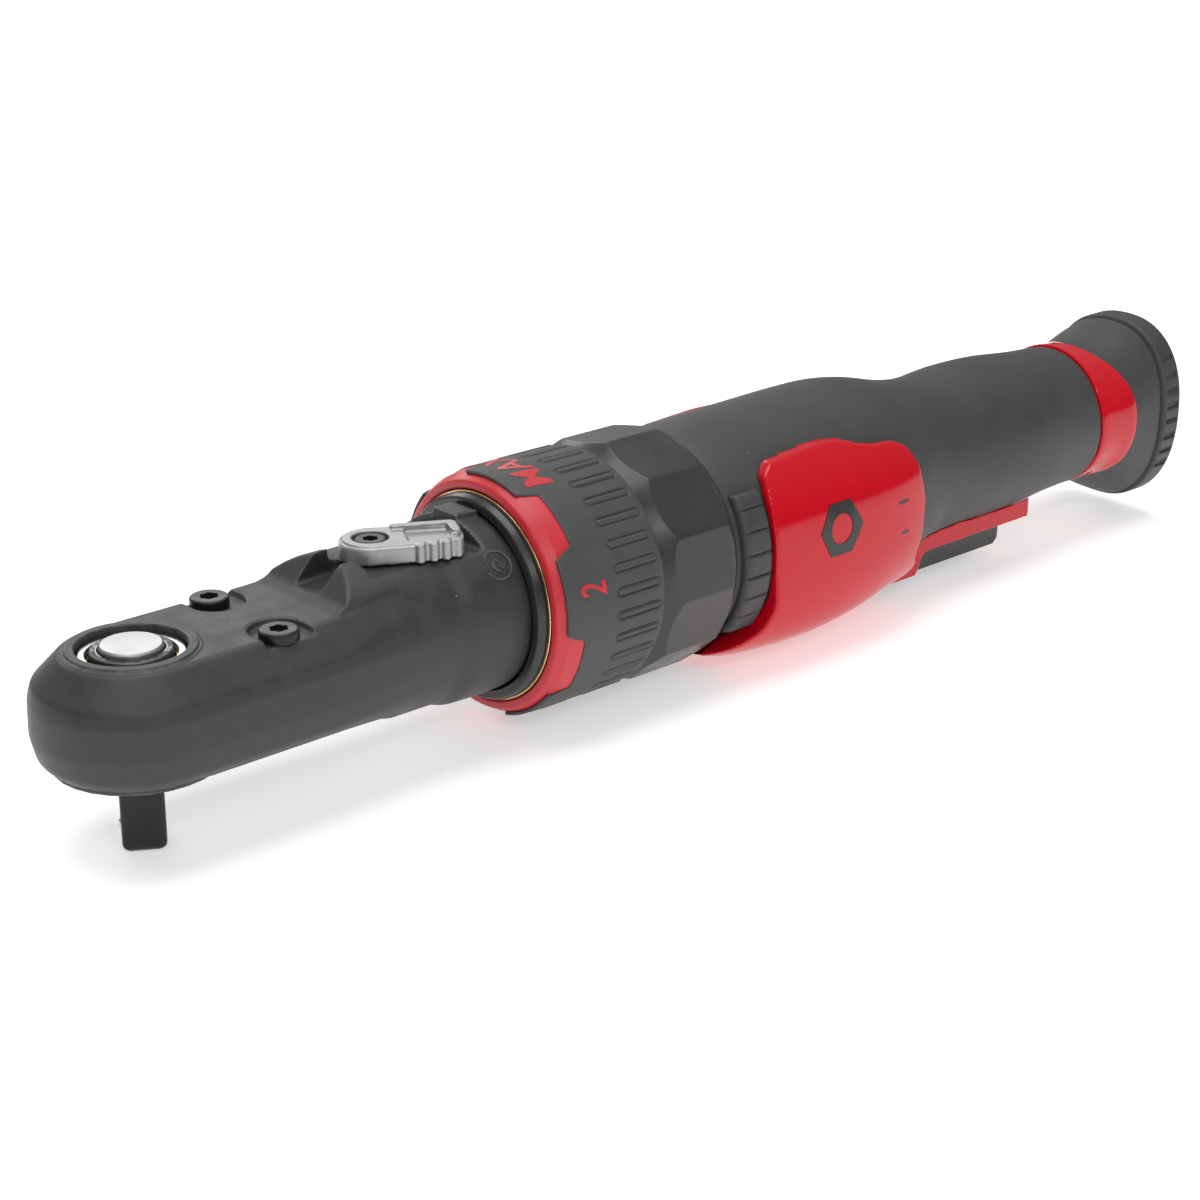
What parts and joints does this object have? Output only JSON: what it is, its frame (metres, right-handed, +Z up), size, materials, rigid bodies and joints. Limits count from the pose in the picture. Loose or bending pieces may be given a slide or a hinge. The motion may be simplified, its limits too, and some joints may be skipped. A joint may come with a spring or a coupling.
{
  "type": "air ratchet",
  "caption": "Inline air ratchet with a small square drive, a selector lever on the neck, a power dial, a squeeze throttle under the grip and a flared exhaust boot round the air inlet.",
  "frame": {"origin": "centre of the flat tip face of the square drive", "axes": "+X along the tool from the head to the air inlet, +Z up through the top of the head, away from the square drive"},
  "size_m": [0.2469, 0.0416, 0.0424],
  "materials": {
    "head_steel": "dark phosphate, matt",
    "ground_steel": "ground bright",
    "black_steel": "black oxide",
    "gear_steel": "machined",
    "bronze": "sintered bronze",
    "brass": "turned",
    "cast_aluminium": "cast, lightly blasted",
    "red_plastic": "semi-matt red",
    "red_gloss": "glossy red",
    "dial_rubber": "matt black",
    "nut_black": "satin black composite",
    "grip_rubber": "matt soft-touch black",
    "black_plastic": "matt black",
    "vane_resin": "phenolic resin",
    "felt": "grey felt"
  },
  "bodies": {
    "root": {"brass_wire_ring": "brass", "clamp_nut": "nut_black", "crank_bush": "bronze", "crank_needle_bearing": "ground_steel", "exhaust_boot": "grip_rubber", "grip_overmould": "grip_rubber", "head_housing": "head_steel", "head_screw_left": "black_steel", "head_screw_right": "black_steel", "index_tab": "red_plastic", "inlet_bushing": "gear_steel", "inlet_screen": "brass", "motor_cylinder": "cast_aluminium", "motor_front_plate": "cast_aluminium", "motor_housing": "cast_aluminium", "motor_rear_plate": "cast_aluminium", "rear_band": "red_gloss", "ribbed_pad_left": "grip_rubber", "ribbed_pad_right": "grip_rubber", "ring_gear": "gear_steel", "rotor_front_bearing": "ground_steel", "rotor_rear_bearing": "ground_steel", "seal_ring": "black_plastic", "side_shroud": "red_gloss", "silencer": "felt", "spindle_bush": "bronze", "spindle_retainer": "head_steel", "spindle_snap_ring": "black_steel", "throttle_bezel": "red_gloss", "throttle_pin": "ground_steel", "valve_seat": "brass", "wave_washer": "gear_steel"},
    "spindle": {"drive_spindle": "gear_steel"},
    "anvil": {"anvil": "black_steel"},
    "anvil_ball": {"anvil_ball": "ground_steel"},
    "yoke": {"yoke": "gear_steel", "pawl_pin_left": "gear_steel", "pawl_pin_right": "gear_steel"},
    "pawl_left": {"pawl_left": "black_steel"},
    "pawl_right": {"pawl_right": "black_steel"},
    "selector": {"selector_lever": "cast_aluminium", "selector_screw": "black_steel", "selector_shaft": "black_steel"},
    "shift_bar": {"shift_bar": "gear_steel"},
    "dial": {"dial_ring": "red_plastic", "dial_sleeve": "dial_rubber"},
    "dial_ball": {"dial_ball": "ground_steel"},
    "throttle": {"throttle_lever": "black_plastic"},
    "valve": {"valve_stem": "ground_steel", "valve_spring": "ground_steel"},
    "rotor": {"rotor": "gear_steel", "vane_1": "vane_resin", "vane_2": "vane_resin", "vane_3": "vane_resin", "vane_4": "vane_resin", "vane_5": "vane_resin"},
    "crank": {"crankshaft": "gear_steel"},
    "planet_1": {"planet_gear_1": "gear_steel"},
    "planet_2": {"planet_gear_2": "gear_steel"},
    "planet_3": {"planet_gear_3": "gear_steel"}
  },
  "joints": [
    {"name": "spindle_spin", "type": "hinge", "parent": "root", "child": "spindle", "pos_m": [0, 0, 0.0205], "axis": [0, 0, 1], "continuous": true},
    {"name": "anvil_pull", "type": "slide", "parent": "spindle", "child": "anvil", "axis": [0, 0, -1], "range_m": [0, 0.026]},
    {"name": "anvil_ball_press", "type": "slide", "parent": "anvil", "child": "anvil_ball", "axis": [0.8499, -0.527, 0], "range_m": [0, 0.00045], "stiffness_N_per_m": 300, "springref_m": -0.0008},
    {"name": "yoke_rock", "type": "hinge", "parent": "root", "child": "yoke", "pos_m": [0, 0, 0.0215], "axis": [0, 0, 1], "range_deg": [-2.6, 2.6]},
    {"name": "pawl_left_tilt", "type": "hinge", "parent": "yoke", "child": "pawl_left", "pos_m": [0.0103, 0.0038, 0.0215], "axis": [0, 0, 1], "range_deg": [-5.8, 0]},
    {"name": "pawl_right_tilt", "type": "hinge", "parent": "yoke", "child": "pawl_right", "pos_m": [0.0103, -0.0038, 0.0215], "axis": [0, 0, 1], "range_deg": [-5.8, 0]},
    {"name": "selector_swing", "type": "hinge", "parent": "root", "child": "selector", "pos_m": [0.042, 0, 0.034], "axis": [0, 0, 1], "range_deg": [0, 53.6]},
    {"name": "shift_bar_slide", "type": "slide", "parent": "root", "child": "shift_bar", "axis": [1, 0, 0], "range_m": [-0.00115, 0]},
    {"name": "dial_turn", "type": "hinge", "parent": "root", "child": "dial", "pos_m": [0.073, 0, 0.022], "axis": [1, 0, 0], "range_deg": [-146, 0]},
    {"name": "dial_ball_press", "type": "slide", "parent": "root", "child": "dial_ball", "axis": [0, 0, -1], "range_m": [0, 0.0006], "stiffness_N_per_m": 300, "springref_m": -0.0008},
    {"name": "throttle_squeeze", "type": "hinge", "parent": "root", "child": "throttle", "pos_m": [0.1555, 0, 0.0058], "axis": [0, -1, 0], "range_deg": [0, 6], "stiffness_Nm_per_rad": 1.2, "springref_deg": -6.88},
    {"name": "valve_lift", "type": "slide", "parent": "root", "child": "valve", "axis": [0, 0, 1], "range_m": [0, 0.00175]},
    {"name": "motor_spin", "type": "hinge", "parent": "root", "child": "rotor", "pos_m": [0.125, 0, 0.022], "axis": [1, 0, 0], "continuous": true},
    {"name": "crank_spin", "type": "hinge", "parent": "root", "child": "crank", "pos_m": [0.06, 0, 0.022], "axis": [1, 0, 0], "continuous": true},
    {"name": "planet_1_spin", "type": "hinge", "parent": "crank", "child": "planet_1", "pos_m": [0.092, 0, 0.02942], "axis": [1, 0, 0], "continuous": true},
    {"name": "planet_2_spin", "type": "hinge", "parent": "crank", "child": "planet_2", "pos_m": [0.092, -0.00643, 0.01829], "axis": [1, 0, 0], "continuous": true},
    {"name": "planet_3_spin", "type": "hinge", "parent": "crank", "child": "planet_3", "pos_m": [0.092, 0.00643, 0.01829], "axis": [1, 0, 0], "continuous": true}
  ],
  "couplings": [
    {"joint": "pawl_left_tilt", "follows": "selector_swing", "ratio": -0.107},
    {"joint": "pawl_right_tilt", "follows": "selector_swing", "ratio": -0.107},
    {"joint": "shift_bar_slide", "follows": "selector_swing", "m_per_rad": -0.0011567},
    {"joint": "valve_lift", "follows": "throttle_squeeze", "m_per_rad": 0.0165},
    {"joint": "crank_spin", "follows": "motor_spin", "ratio": 0.22222},
    {"joint": "planet_1_spin", "follows": "motor_spin", "ratio": -0.62222},
    {"joint": "planet_2_spin", "follows": "motor_spin", "ratio": -0.62222},
    {"joint": "planet_3_spin", "follows": "motor_spin", "ratio": -0.62222}
  ]
}
